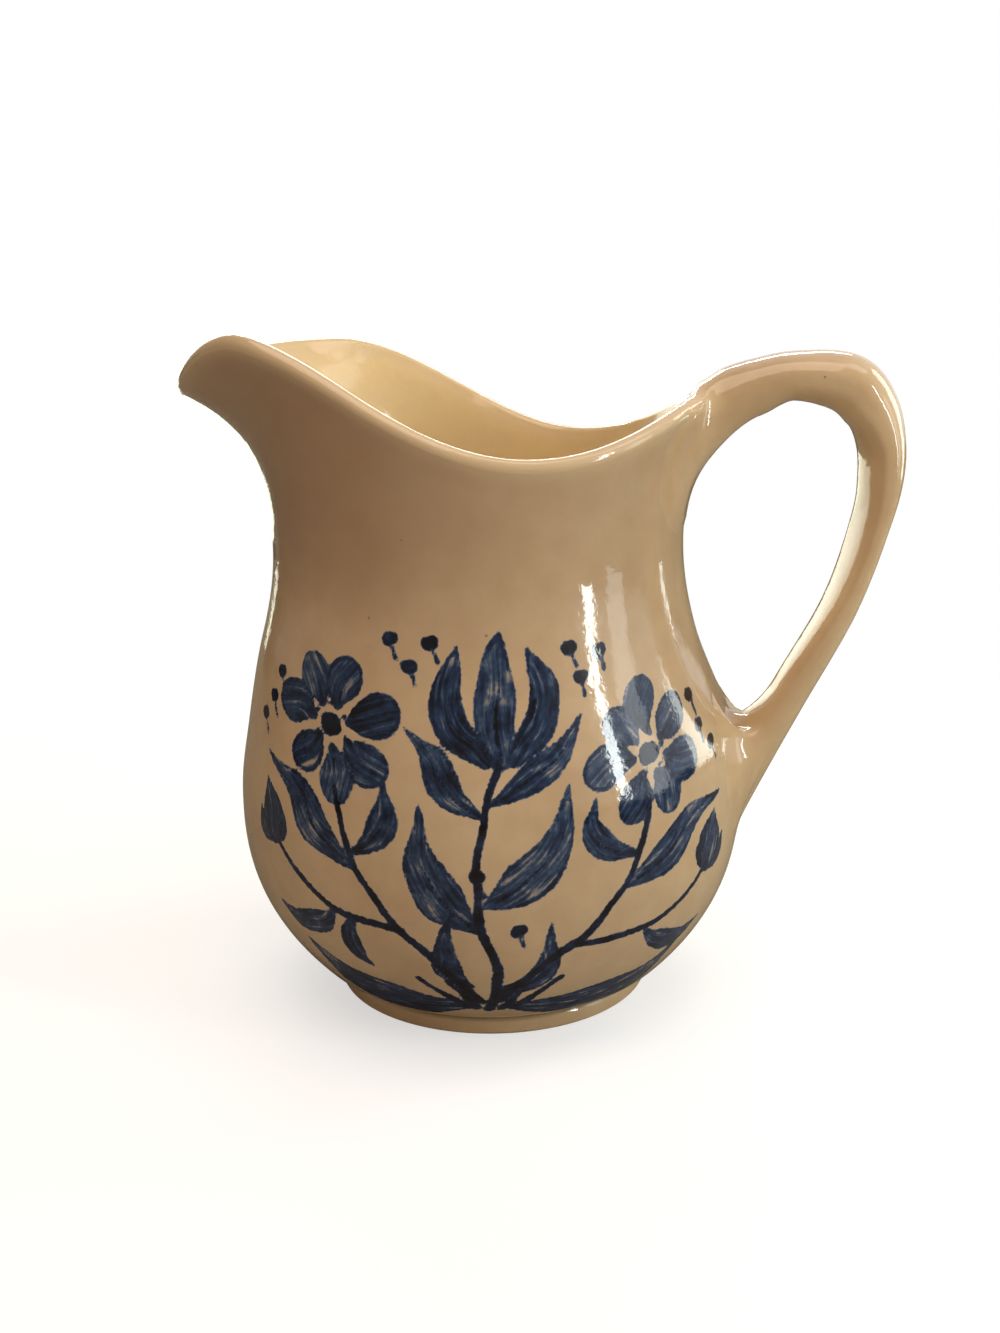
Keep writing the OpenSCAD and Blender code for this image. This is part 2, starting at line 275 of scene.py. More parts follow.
# Just inside the lip the offset surface would fold at the spout: carry it straight on
for i in range(1, EASE_ROWS):
    wall_rows[lip_last + i] = mix(wall_rows[lip_last], wall_rows[lip_last + EASE_ROWS],
                                  i / EASE_ROWS)
n_rows, n_cols = wall_rows.shape[:2]
wall_points = np.concatenate([wall_rows.reshape(-1, 3),
                              [[0, 0, FOOT_HOLLOW], [0, 0, BASE_TOP]]])
wall_faces = grid_faces(n_rows, n_cols)
under_pole, floor_pole = n_rows * n_cols, n_rows * n_cols + 1
last = (n_rows - 1) * n_cols
for j in range(n_cols):
    k = (j + 1) % n_cols
    wall_faces += [(under_pole, k, j), (floor_pole, last + j, last + k)]

# The pulled handle: one skin from the mouth's edge round the loop to the belly. Its
# centre line and thickness pass through given points.
HANDLE_PATH_SHARES = ((0, 0.978), (0.3, 1.005), (0.72, 0.987), (0.915, 0.926), (0.99, 0.848),
                      (1, 0.758), (0.94, 0.652), (0.725, 0.435), (0.385, 0.225))
HANDLE_THICK_SHARES = (1.3, 0.75, 1.45, 1.25, 1.05, 0.75, 0.25, 0, 0.05)
HANDLE_SIDES, RINGS_A_SPAN, HEADING_STEP = 88, 10, 0.01
UPPER_PULL, UPPER_LIFT, UPPER_PUSH, LOWER_PULL, LOWER_PUSH = 1.5, 1.2, 1.1, 0.4, 0.95
FINGER_FLAT_POWER = 0.62
# The limb is turned a little on its own axis, its finger side towards the front
LIMB_TURN, LIMB_THINNED, LIMB_OUT = 11.0, 3.0, 0.9
TURN_FROM, TURN_FULL, TURN_FADE, TURN_END = 2.6, 4.4, 6.2, 7.8
upper_x = mouth_r(RIM_BACK_Z) - NECK_SHIFT + LIP_ROLL + UPPER_ROOT_REACH


def handle_spot(i):
    i = min(max(i, 0), len(HANDLE_PATH_SHARES) - 1)
    out, up = HANDLE_PATH_SHARES[i]
    x_in = mix(BELLY_R, upper_x, up)
    return np.array([mix(x_in, HANDLE_REACH - HANDLE_BEND_T / 2, out), 0,
                     mix(LOWER_ROOT_Z, HANDLE_TOP_Z - HANDLE_BEND_T / 2, up),
                     mix(HANDLE_LIMB_T, HANDLE_BEND_T, HANDLE_THICK_SHARES[i])])


def along_handle(u):
    """Centre and thickness at u."""
    i = min(len(HANDLE_PATH_SHARES) - 2, int(u))
    return catmull_rom(*(handle_spot(i + k) for k in (-1, 0, 1, 2)), u - i)


path_end = len(HANDLE_PATH_SHARES) - 1
around = 360 * np.arange(HANDLE_SIDES) / HANDLE_SIDES
cos_b, sin_b = np.cos(np.radians(around)), np.sin(np.radians(around))


def heading(u):
    step = along_handle(min(path_end, u + HEADING_STEP)) - along_handle(max(0, u - HEADING_STEP))
    return step[:3] / np.linalg.norm(step[:3])


def handle_ring(u):
    """A section round outside and flat, with soft corners, on the finger side."""
    spot, ahead = along_handle(u), heading(u)
    outward = np.array([-ahead[2], 0, ahead[0]])
    share = float(blend(u, (TURN_FROM, TURN_FULL)) * blend(u, (TURN_END, TURN_FADE)))
    turn = math.radians(LIMB_TURN * share)
    high = (np.where(cos_b > 0, cos_b, -np.abs(cos_b) ** FINGER_FLAT_POWER)
            * (spot[3] - LIMB_THINNED * share) / 2)
    wide = HANDLE_W / 2 * sin_b
    middle = spot[:3] + outward * LIMB_OUT * share
    ring = middle + outward * (high * math.cos(turn) - wide * math.sin(turn))[:, None]
    ring[:, 1] += high * math.sin(turn) + wide * math.cos(turn)
    return ring


# A footprint runs round the root's middle on the wall. The upper one is given by how
# far down from the lip's crest it starts and ends, the lower one by its half height.
# Each also has its half width.


def upper_foot(print_mm, share, depth):
    highest, lowest, half_width = print_mm
    a = 180 + share * np.degrees(sin_b * half_width / plain_r(WAIST_Z))
    down = (lowest + highest) / 2 - share * (lowest - highest) / 2 * cos_b
    curl = LIP_R * math.pi / 2
    outside = wall_point(a, lip_z(a) + curl - down, LIP_R + depth)
    inside = wall_point(a, lip_z(a) + curl + down, -LIP_R - depth)
    over = lip_point(a, 90 * (1 - down / curl), LIP_R + depth)
    return np.where((down > curl)[:, None], outside,
                    np.where((down < -curl)[:, None], inside, over))


def lower_foot(print_mm, share, depth):
    half_height, half_width = print_mm
    a = 180 + share * np.degrees(sin_b * half_width / BELLY_R)
    return wall_point(a, LOWER_ROOT_Z - share * half_height * cos_b, LIP_R + depth)


def trumpet(foot, foot_pull, section, section_pull, s):
    return ((2 * s ** 3 - 3 * s ** 2 + 1) * foot + (s ** 3 - 2 * s ** 2 + s) * foot_pull
            + (3 * s ** 2 - 2 * s ** 3) * section + (s ** 3 - s ** 2) * section_pull)


ROOT_LIFT = np.array([1, 0, 1.5]) / np.linalg.norm([1, 0, 1.5])


def root_rings(foot_at, print_mm, sunk, section, ahead, pull_share, push_share, lift_share,
               count):
    """Rings from the footprint on the wall to just short of the handle's section."""
    foot, middle = foot_at(print_mm, 1.0, -sunk), foot_at(print_mm, 0.0, 0.0)[:1]
    span = np.linalg.norm(section.mean(axis=0) - middle[0])
    pull = pull_share * (middle - foot)
    if lift_share:
        pull = mix(pull, lift_share * span * ROOT_LIFT, (np.maximum(0, cos_b) ** 2)[:, None])
    push = ahead * span * push_share
    return [trumpet(foot, pull, section, push, i / count) for i in range(count)]


def tube(rings):
    """Points and faces of a closed tube, its ends drawn to the middle of each."""
    rows = np.array(rings)
    count, sides = rows.shape[:2]
    faces = [f[::-1] for f in grid_faces(count, sides)]
    first, last = count * sides, count * sides + 1
    for j in range(sides):
        k = (j + 1) % sides
        faces += [(first, j, k), (last, (count - 1) * sides + k, (count - 1) * sides + j)]
    ends = [rows[0].mean(axis=0), rows[-1].mean(axis=0)]
    return np.concatenate([rows.reshape(-1, 3), ends]), faces


# The pulled core, its ends buried in the wall
UPPER_CORE, LOWER_CORE = (0.0, 37.0, 25.0), (18.5, 13.5)
UPPER_SUNK, LOWER_SUNK, CORE_BURIED = 1.3, 0.4, -4.4
ROOT_CORE_RINGS, LOOP_CORE_RINGS = 16, 6
upper_core = root_rings(upper_foot, UPPER_CORE, UPPER_SUNK, handle_ring(0), heading(0),
                        UPPER_PULL, UPPER_PUSH, UPPER_LIFT, ROOT_CORE_RINGS)
lower_core = root_rings(lower_foot, LOWER_CORE, LOWER_SUNK, handle_ring(path_end),
                        -heading(path_end), LOWER_PULL, LOWER_PUSH, 0, ROOT_CORE_RINGS)
loop_core = [handle_ring(i / LOOP_CORE_RINGS) for i in range(path_end * LOOP_CORE_RINGS + 1)]
core_points, core_faces = tube(
    [upper_foot(UPPER_CORE, 1.0, CORE_BURIED)] + upper_core + loop_core
    + lower_core[::-1] + [lower_foot(LOWER_CORE, 1.0, CORE_BURIED)])

# Its roots are luted on and smoothed into the wall with a finger: the handle's skin
# runs out over the wall on the soft union of the two. The smoothing reaches far at
# the sides and stays tight in the crotch over the lower root.
TOP_REACH, TOP_SIDE_REACH, UNDER_REACH, CROTCH_REACH, TAIL_REACH = 10.0, 3.0, 5.0, 3.0, 1.2
UPPER_SIDE_REACH, LOWER_SIDE_REACH, TAIL_SIDE_REACH, INSIDE_REACH = 4.0, 13.0, 1.5, 2.0
# Where one reach gives way to the next, by height, off the middle and inwards
SIDE_Y, FAR_SIDE_Y, FAR_SIDE_DROP, INWARD = (5, 14), (18, 30), 0.7, (-0.5, 3.0)
UPPER_SIDE_Z, NEAR_LIP_Z, NEAR_LIP_DROP, TOP_Z = (132, 158), (172, 182), 0.66, (168, 186)
TAIL_SIDE_Z, TAIL_Z, UPPER_Z = (50, 76), (55, 85), (100, 130)
UPPER_SKIRT, LOWER_SKIRT, SKIRT_PULL, SKIRT_PUSH = (-5.4, 48.0, 36.0), (33.0, 28.0), 0.6, 1.0
SKIRT_RINGS, JOIN_UPPER, JOIN_LOWER = 34, 0.5, path_end - 0.4


def smoothing_reach(p):
    off_middle, height = np.abs(p[:, 1]), p[:, 2]
    side = blend(off_middle, SIDE_Y)
    upper_side = (UPPER_SIDE_REACH * blend(height, UPPER_SIDE_Z)
                  * (1 - NEAR_LIP_DROP * blend(height, NEAR_LIP_Z)))
    upper = (mix(UNDER_REACH, mix(TOP_REACH, TOP_SIDE_REACH, side), blend(height, TOP_Z))
             + upper_side * side)
    lower_side = mix(TAIL_SIDE_REACH, LOWER_SIDE_REACH, blend(height, TAIL_SIDE_Z))
    lower = mix(TAIL_REACH, CROTCH_REACH, blend(height, TAIL_Z)) + lower_side * side
    reach = (mix(lower, upper, blend(height, UPPER_Z))
             * (1 - FAR_SIDE_DROP * blend(off_middle, FAR_SIDE_Y)))
    # Over the lip, little of it runs on to the inside
    a = column_angle(p)
    inward = middle_r(a, np.minimum(height, lip_z(a))) - np.hypot(p[:, 0], p[:, 1])
    return mix(reach, INSIDE_REACH, blend(inward, INWARD))


def skin_of(points, faces):
    return BVHTree.FromPolygons([tuple(p) for p in points], faces)


# The wall's skin here is its outside, its lip and a little of the inside, so that no
# point is drawn through it
SKIN_INSIDE_ROWS = 8
outside_rows = wall_rows[outer_first:lip_last + 1 + SKIN_INSIDE_ROWS]
wall_skin = skin_of(outside_rows.reshape(-1, 3), grid_faces(len(outside_rows), n_cols))
core_skin = skin_of(core_points, core_faces)

TOUCHING, EDGE_FACING, EDGE_SEEK = 1e-3, 0.8, 0.01
LEAST_WAY, LONGEST_MOVE = 0.25, 2.5


def depth_and_way(skin, points):
    """Signed distance from a skin, and the way straight off it."""
    gaps, ways = np.empty(len(points)), np.empty((len(points), 3))
    for i, p in enumerate(points):
        spot, normal, _, gap = skin.find_nearest(Vector(p))
        off = Vector(p) - spot
        facing = off.dot(normal)
        if gap > TOUCHING and abs(facing) < EDGE_FACING * gap:
            # Nearest an edge: the faces that meet there decide which side this is
            hits = skin.find_nearest_range(Vector(p), gap + EDGE_SEEK)
            facing = off.dot(sum((hit[1] for hit in hits), Vector()))
        outside = 1.0 if facing >= 0 else -1.0
        gaps[i] = gap * outside
        ways[i] = off * (outside / gap) if gap > TOUCHING else normal
    return gaps, ways


def to_union(points, level, steps):
    """Draw points on to the soft union of the wall and the core."""
    for _ in range(steps):
        wall_gap, wall_way = depth_and_way(wall_skin, points)
        core_gap, core_way = depth_and_way(core_skin, points)
        reach = smoothing_reach(points)
        share = clamp01(0.5 + 0.5 * (core_gap - wall_gap) / reach)
        union = mix(core_gap, wall_gap, share) - reach * share * (1 - share)
        way = mix(core_way, wall_way, share[:, None])
        size = np.maximum(np.sum(way * way, axis=1), LEAST_WAY)
        move = np.clip((union - level) / size, -LONGEST_MOVE, LONGEST_MOVE)
        points = points - way * move[:, None]
    return points


# The skin starts just under the wall's surface and ends just over the core's
SKIN_START, SKIN_LEVEL, LEVEL_RINGS = -0.05, 0.03, 9
SKIN_BURIED = ((0.3, -2.4), (0.65, -2.4), (0.96, -1.2))
CLEARANCE, CLEAR_UP_SHARE, RELAX_ROUNDS, LAST_STEPS = 40, 0.6, 30, 4
RELAX_STAY, RELAX_ALONG, RELAX_BESIDE = 0.35, 0.45, 0.2


def smoothed_root(foot_at, print_mm, section, ahead):
    """Rings from under the wall's surface, out over it and up to the handle."""
    section = to_union(section, SKIN_LEVEL, LAST_STEPS)
    grid = np.array(root_rings(foot_at, print_mm, 0, section, ahead, SKIRT_PULL, SKIRT_PUSH, 0,
                               SKIRT_RINGS) + [section])
    # Start well clear of the wall, so that every point comes down on its outside
    s = np.linspace(0, 1, len(grid))[:, None, None]
    up_share = np.maximum(0, cos_b)[None, :, None] ** 0.5
    outward = grid * [1, 1, 0] / np.linalg.norm(grid * [1, 1, 0], axis=2, keepdims=True)
    upward = np.array([0, 0, 1]) * up_share * (foot_at is upper_foot)
    grid += (outward * (1 - CLEAR_UP_SHARE * up_share) + upward) * CLEARANCE * s * (1 - s)
    grid[0] = foot_at(print_mm, 1.0, SKIN_START)
    rise = ramp(np.arange(1, len(grid) - 1) / LEVEL_RINGS)
    level = np.repeat(mix(SKIN_START, SKIN_LEVEL, rise), HANDLE_SIDES)
    for left in reversed(range(RELAX_ROUNDS)):
        inner = grid[1:-1]
        along = (grid[:-2] + grid[2:]) / 2
        beside = (np.roll(inner, 1, axis=1) + np.roll(inner, -1, axis=1)) / 2
        relaxed = RELAX_STAY * inner + RELAX_ALONG * along + RELAX_BESIDE * beside
        drawn = to_union(relaxed.reshape(-1, 3), level, 1 if left else LAST_STEPS)
        grid[1:-1] = drawn.reshape(inner.shape)
    return [foot_at(print_mm, share, depth) for share, depth in SKIN_BURIED] + list(grid[:-1])


UPPER_DRAWN, LOWER_DRAWN = 12, 8
upper_rings = smoothed_root(upper_foot, UPPER_SKIRT, handle_ring(JOIN_UPPER), heading(JOIN_UPPER))
lower_rings = smoothed_root(lower_foot, LOWER_SKIRT, handle_ring(JOIN_LOWER), -heading(JOIN_LOWER))
loop_count = int((JOIN_LOWER - JOIN_UPPER) * RINGS_A_SPAN)
loop_rings = [handle_ring(u) for u in np.linspace(JOIN_UPPER, JOIN_LOWER, loop_count + 1)]
for i, ring in enumerate(loop_rings):
    if i < UPPER_DRAWN or i > loop_count - LOWER_DRAWN:
        loop_rings[i] = to_union(ring, SKIN_LEVEL, LAST_STEPS)
handle_points, handle_faces = tube(upper_rings + loop_rings + lower_rings[::-1])

glazed_wall = mesh_object("glazed_wall", wall_points, wall_faces)
loop_handle = mesh_object("loop_handle", handle_points, handle_faces)

# The painting: freehand cobalt brushwork under the glaze. Each stroke is a row of
# (across, up, half width) in millimetres on the unrolled front: across from the
# middle line, up along the wall's own profile, level with z at the widest ring.
PAINT_MIDDLE, LINE_STEPS, THINNEST = 98.0, 7, 0.15
LEAF_SHARES = (0.10, 0.62, 1.0, 0.86, 0.42, 0.04)
LEAF_PRESS, RIB_TO, RIB_HALF_WIDTH, RIB_LOAD = 1.16, 0.86, 0.62, 0.78
RIB_SHARES, PETAL_SHARES = (1.1, 1.0, 0.7, 0.4), (0.22, 0.55, 0.92, 1.0, 0.55)
PETAL_PRESS, PETAL_BEND, PETAL_UNEVEN, LOAD_UNEVEN = 0.62, 0.10, 0.07, 0.14
EYE_SHARE, STAMENS, STAMEN_SHARE = 0.15, 6, 0.27
FAR = 9.0


def smooth_line(points):
    p = np.asarray(points, float)
    p = np.concatenate([[2 * p[0] - p[1]], p, [2 * p[-1] - p[-2]]])
    t = np.linspace(0, 1, LINE_STEPS, endpoint=False)[:, None]
    spans = [catmull_rom(*four, t) for four in zip(p, p[1:], p[2:], p[3:])]
    return np.concatenate(spans + [p[-2:-1]])


def widened(centre, half_width, shares):
    """A curve given a brush-pressed width that follows the shares along it."""
    line = smooth_line(centre)
    press = smooth_line(np.column_stack([np.linspace(0, 1, len(shares)), shares]))
    width = half_width * np.interp(np.linspace(0, 1, len(line)), press[:, 0], press[:, 1])
    return np.column_stack([line, np.maximum(width, THINNEST)])


strokes = []


def paint(kind, centre, half_width, shares, load):
    strokes.append((kind, widened(centre, half_width, shares), load))


def stem(centre, thick, thin, load=0.8):
    paint("line", centre, thick, (1.0, 0.8 + 0.2 * thin / thick, thin / thick, thin / thick), load)


def leaf(centre, half_width, load, rib=True):
    paint("wash", centre, LEAF_PRESS * half_width, LEAF_SHARES, load)
    if rib:
        line = smooth_line(centre)
        paint("line", line[2:int(len(line) * RIB_TO)], RIB_HALF_WIDTH, RIB_SHARES, RIB_LOAD)


def dot(across, up, radius, load=0.85):
    left, right = across - radius * 0.3, across + radius * 0.3
    strokes.append(("line", np.array([[left, up, radius], [right, up + 0.3, radius * 0.9]]), load))


def rosette(across, up, reach, petals, turn, load):
    middle = np.array([across, up])
    for k in range(petals):
        way = math.radians(turn + 360 * k / petals)
        size = reach * (1 + PETAL_UNEVEN * math.sin(2.3 * k + turn))
        out = np.array([math.cos(way), math.sin(way)])
        side = np.array([-out[1], out[0]]) * PETAL_BEND * reach * math.sin(1.7 * k)
        centre = [middle + out * size * 0.30, middle + out * size * 0.60 + side,
                  middle + out * size * 0.86]
        half_width = size * math.pi / petals * PETAL_PRESS
        paint("wash", centre, half_width, PETAL_SHARES,
              load + LOAD_UNEVEN * math.sin(1.9 * k + turn))
        rib_line = [centre[0], middle + out * size * 0.62 + side * 0.6]
        paint("line", rib_line, 0.75, (1, 0.7, 0.2), 0.8)
    dot(across, up, reach * EYE_SHARE, 0.95)
    for k in range(STAMENS):
        way = math.radians(turn * 2 + 360 / STAMENS * k)
        dot(across + reach * STAMEN_SHARE * math.cos(way),
            up + reach * STAMEN_SHARE * math.sin(way), 0.62, 0.75)


# Stems, from the ground tuft upwards
stem([(0, 9), (3, 28), (-2, 50), (-1, 72), (4, 92)], 1.5, 1.0)
stem([(-2, 14), (-13, 32), (-30, 50), (-40, 68), (-43, 82)], 1.35, 0.95)
stem([(3, 15), (14, 30), (31, 44), (43, 60), (47, 74)], 1.35, 0.95)
stem([(-23, 43), (-40, 45), (-56, 52), (-68, 62)], 1.1, 0.8)
stem([(23, 38), (42, 38), (60, 43), (72, 52)], 1.1, 0.8)

# Tulip on the middle stem
TULIP_SHARES, TULIP_RIB = (0.55, 0.95, 1.0, 0.72, 0.1), (1.1, 0.9, 0.3)
for centre, half_width, load in (
        ([(0, 92), (-8, 99), (-10, 110), (-7, 121)], 4.6, 0.74),
        ([(8, 92), (15, 100), (16, 110), (12, 120)], 4.6, 0.66),
        ([(4, 92), (3, 103), (3, 114), (4, 125)], 5.4, 0.52)):
    paint("wash", centre, half_width, TULIP_SHARES, load)
for centre in ([(4, 93), (3.4, 104), (4, 117)], [(0, 95), (-6, 103), (-7, 113)],
               [(8, 95), (13, 104), (13, 112)]):
    paint("line", centre, 0.7, TULIP_RIB, 0.85)

# Rosettes on the side stems
rosette(-44, 98, 20.5, 7, 14, 0.7)
rosette(48, 89, 19.5, 7, 38, 0.6)

# Buds on the low branches
for across, up, lean in ((-70, 66, -1), (74, 56, 1)):
    leaf([(across - lean * 2, up - 5), (across, up + 2), (across + lean * 3, up + 12)], 5.2, 0.7)
    leaf([(across - lean * 3, up - 5), (across - lean * 5, up), (across - lean * 4, up + 6)],
         2.3, 0.8, rib=False)
    leaf([(across - lean, up - 6), (across + lean * 5, up - 3), (across + lean * 8, up + 3)],
         2.3, 0.8, rib=False)

# Leaves
leaf([(-3, 11), (-22, 10), (-42, 17), (-58, 31)], 7.2, 0.62)
leaf([(4, 11), (24, 8), (45, 13), (62, 26)], 7.2, 0.56)
leaf([(-1, 44), (-11, 52), (-17, 64), (-18, 80)], 5.6, 0.58)
leaf([(-1, 52), (10, 58), (19, 68), (23, 84)], 5.6, 0.52)
leaf([(1, 20), (12, 24), (17, 33), (18, 46)], 3.6, 0.7)
leaf([(-4, 22), (-10, 29), (-12, 38), (-9, 50)], 3.4, 0.66)
leaf([(0, 76), (-9, 82), (-14, 92), (-22, 100)], 3.8, 0.62)
leaf([(2, 80), (12, 86), (20, 92), (27, 102)], 3.8, 0.6)
leaf([(-36, 60), (-50, 68), (-58, 78), (-74, 86)], 5.0, 0.55)
leaf([(38, 53), (54, 60), (64, 68), (80, 72)], 4.8, 0.55)
leaf([(-38, 64), (-30, 70), (-27, 77), (-28, 86)], 3.6, 0.66)
leaf([(44, 62), (34, 66), (29, 72), (30, 80)], 3.4, 0.66)
leaf([(-44, 46), (-50, 40), (-60, 38), (-70, 42)], 3.6, 0.6)
leaf([(46, 38), (52, 32), (62, 29), (73, 33)], 3.6, 0.6)
leaf([(-38, 45), (-40, 38), (-38, 32), (-33, 27)], 3.0, 0.7)

# Berries and short grass strokes
for across, up in ((-20, 116), (-14, 122), (-25, 123), (27, 112), (33, 118), (24, 120),
                   (-70, 101), (-76, 95), (-66, 109), (72, 92), (78, 86), (70, 100),
                   (-2, 60), (9, 44)):
    dot(across, up, 1.9)
    stem([(across + 1.5, up - 5), (across, up)], 0.6, 0.45, 0.6)
for across, lean in ((-14, -5), (-8, -3), (9, 3), (16, 5)):
    stem([(across * 0.4, 10), (across * 0.7 + lean * 0.4, 17), (across + lean, 25)], 1.5, 0.9, 0.75)

# Distance from every front vertex to the nearest brush edge, negative inside a
# stroke, kept on the mesh so that the shader draws a sharp edge.
PROFILE_STEPS, STROKE_MARGIN, HAND_WOBBLE, GRAIN_APART, DRAWN_OUT = 500, 10, 0.34, 7.0, 0.3
EDGE_INSET, EDGE_HALF_WIDTH, EDGE_UNEVEN, EDGE_LOAD, EDGE_LOAD_SHARE = 0.55, 0.52, 0.22, 0.34, 0.5
outer_rows = slice(outer_first, lip_first)
z_line = np.linspace(FOOT_H, CUT_Z, PROFILE_STEPS)
run = np.cumsum(np.hypot(np.diff(z_line), np.diff(plain_r(z_line))))
run = np.concatenate([[0], run])
run += BELLY_Z - np.interp(BELLY_Z, z_line, run)
z_here = wall_rows[outer_rows, :, 2]
across_here = plain_r(z_here) * np.radians(columns[None, :] - PAINT_MIDDLE)
up_here = np.interp(z_here, z_line, run)
# A hand's wobble, about a third of a millimetre over a finger's width
hand_across = across_here + HAND_WOBBLE * np.sin(up_here / 3.1 + 1.3 * np.sin(across_here / 7.0))
hand_up = up_here + HAND_WOBBLE * np.sin(across_here / 3.7 + 1.1 * np.sin(up_here / 6.0))

gaps = {kind: np.full(z_here.shape, FAR) for kind in ("wash", "line")}
loads = {kind: np.zeros(z_here.shape) for kind in gaps}
grain = np.zeros(z_here.shape + (2,))


def lay(kind, near, gap, load):
    """Keep a stroke's edge and load where it is the nearest of its kind so far."""
    first = gap < gaps[kind][near]
    gaps[kind][near] = np.where(first, gap, gaps[kind][near])
    loads[kind][near] = np.where(first, load, loads[kind][near])
    return first


for number, (kind, path, load) in enumerate(strokes):
    low = path[:, :2].min(axis=0) - STROKE_MARGIN
    high = path[:, :2].max(axis=0) + STROKE_MARGIN
    near = ((hand_across > low[0]) & (hand_across < high[0])
            & (hand_up > low[1]) & (hand_up < high[1]))
    if not near.any():
        continue
    spots = np.column_stack([hand_across[near], hand_up[near]])
    nearest = np.array([FAR, 0, 0])[:, None] * np.ones(len(spots))
    steps = np.linalg.norm(np.diff(path[:, :2], axis=0), axis=1)
    lengths = np.concatenate([[0], np.cumsum(steps)])
    for a, b, start in zip(path[:-1], path[1:], lengths):
        edge = b[:2] - a[:2]
        size = max(np.linalg.norm(edge), 1e-6)
        share = clamp01((spots - a[:2]) @ edge / size ** 2)
        away = spots - (a[:2] + share[:, None] * edge)
        gap = np.linalg.norm(away, axis=1) - mix(a[2], b[2], share)
        side = (away[:, 0] * edge[1] - away[:, 1] * edge[0]) / size
        nearest = np.where(gap < nearest[0], [gap, start + share * size, side], nearest)
    gap, along, side = nearest
    if kind == "line":
        lay("line", near, gap, load)
    else:
        # A wash is drawn round with the brush's tip and thins out along its length
        rim = (np.abs(gap + EDGE_INSET) - EDGE_HALF_WIDTH
               - EDGE_UNEVEN * np.sin(along / 4.3 + number))
        lay("line", near, rim, EDGE_LOAD + EDGE_LOAD_SHARE * load)
        first = lay("wash", near, gap, load * (1 - DRAWN_OUT * along / max(lengths[-1], 1)))
        here = grain[near]
        here[first] = np.column_stack([along, side + GRAIN_APART * number])[first]
        grain[near] = here


def keep(made, name, values):
    """Store one number a vertex for the materials."""
    made.data.attributes.new(name, "FLOAT", "POINT").data.foreach_set("value", values)


def keep_on_wall(name, values, other=0.0, on_rows=slice(None)):
    """Store numbers for some rows of the wall's grid, and another elsewhere."""
    whole = np.full((n_rows, n_cols), other)
    whole[on_rows] = values
    keep(glazed_wall, name, np.concatenate([whole.reshape(-1), [other, other]]))


for kind in gaps:
    keep_on_wall(kind + "_gap", gaps[kind], FAR, outer_rows)
    keep_on_wall(kind + "_load", loads[kind], on_rows=outer_rows)
for i, name in enumerate(("grain_along", "grain_side")):
    keep_on_wall(name, grain[..., i], on_rows=outer_rows)

# The thin glaze below the lip, and painted shade over the neck: its heights, all round and at the
# spout
THIN_BELOW_LIP, PAINTED_SHADE_Z, PAINTED_SHADE_ALL_ROUND, PAINTED_SHADE_AT_SPOUT = 3.4, (112, 154), 0.1, 0.55
ROOT_FADE = (0, 9)


def thin_at_lip(a, z):
    """How thin the glaze runs off the lip, 1 on the crest."""
    return np.exp(-((np.maximum(lip_z(a) - z, 0) / THIN_BELOW_LIP) ** 2))


keep_on_wall("lip_thin", thin_at_lip(columns[None, :], wall_rows[:, :, 2]))

# Painted light: the inside paler and yellower, as if lit, from the lip's crest inwards
inside = np.zeros((n_rows, n_cols))
crest = lip_first + LIP_ROWS // 2
inside[crest:] = 1.0
inside[crest:lip_last + 1] = ramp(np.linspace(0, 1, LIP_ROWS // 2 + 1))[:, None]
keep_on_wall("inside", inside)

# Painted shade: the outside of the neck darkened towards brown, most on the spout side
toward_spout = 0.5 + 0.5 * np.cos(np.radians(columns))[None, :]
keep_on_wall("painted_shade", blend(z_here, PAINTED_SHADE_Z) * (PAINTED_SHADE_ALL_ROUND + PAINTED_SHADE_AT_SPOUT * toward_spout),
             on_rows=outer_rows)

# The handle's roots take the wall's tones and lose them away from it
handle_z = handle_points[:, 2]
on_wall = 1 - blend(depth_and_way(wall_skin, handle_points)[0], ROOT_FADE)
keep(loop_handle, "lip_thin", thin_at_lip(column_angle(handle_points), handle_z) * on_wall)
# Painted shade from the neck, carried on to the upper root
keep(loop_handle, "painted_shade", PAINTED_SHADE_ALL_ROUND * blend(handle_z, PAINTED_SHADE_Z) * on_wall)

# Materials
NOISE_LOW, NOISE_HIGH = 0.3, 0.7
# Glaze colours: a deep and a pale tone, painted shade for the neck, painted light for the inside
GLAZE_DEEP, GLAZE_PALE, GLAZE_PAINTED_SHADE, GLAZE_INSIDE_PAINTED_LIGHT = "#B39671", "#C5AB86", "#8A6749", "#E2C690"
# The thin lip's colour, and pooled glaze with painted shade along the groove
GLAZE_THIN, GLAZE_THIN_MOST, GLAZE_POOL_AND_SHADE, GLAZE_POOL_AND_SHADE_MOST = "#D6BC93", 0.55, "#6A6040", 0.62
IRON, IRON_MOST, IRON_MISSING, IRON_SIZE, IRON_SOFT = "#4A3626", 0.62, 0.62, 0.052, 0.012
# Height and widths of the band of pooled glaze and painted shade over the groove
POOL_AND_SHADE_Z_M, POOL_AND_SHADE_CORE_M, POOL_AND_SHADE_EDGE_M = 0.0057, 0.0003, 0.0019
COBALT = ((0.0, "#6A7180"), (0.22, "#43556C"), (0.46, "#1C304C"), (0.7, "#0A1A30"),
          (1.0, "#01030C"))
COBALT_COVERS_AT, COBALT_COVER, RAGGED_MM = 0.3, 0.985, 0.32
STREAKS = (0.09, 0.62, 0.0)
CLAY_TOASTED, CLAY_PALE, CLAY_GROG = "#A5855F", "#C9AE88", "#6B5440"


def colour(code):
    """sRGB hex to a linear colour."""
    parts = [int(code[i:i + 2], 16) / 255 for i in (1, 3, 5)]
    return (*[c / 12.92 if c <= 0.04045 else ((c + 0.055) / 1.055) ** 2.4 for c in parts], 1.0)


def per_m(size_mm):
    """Texture scale for a pattern whose lumps are this many millimetres across."""
    return 1000 / size_mm


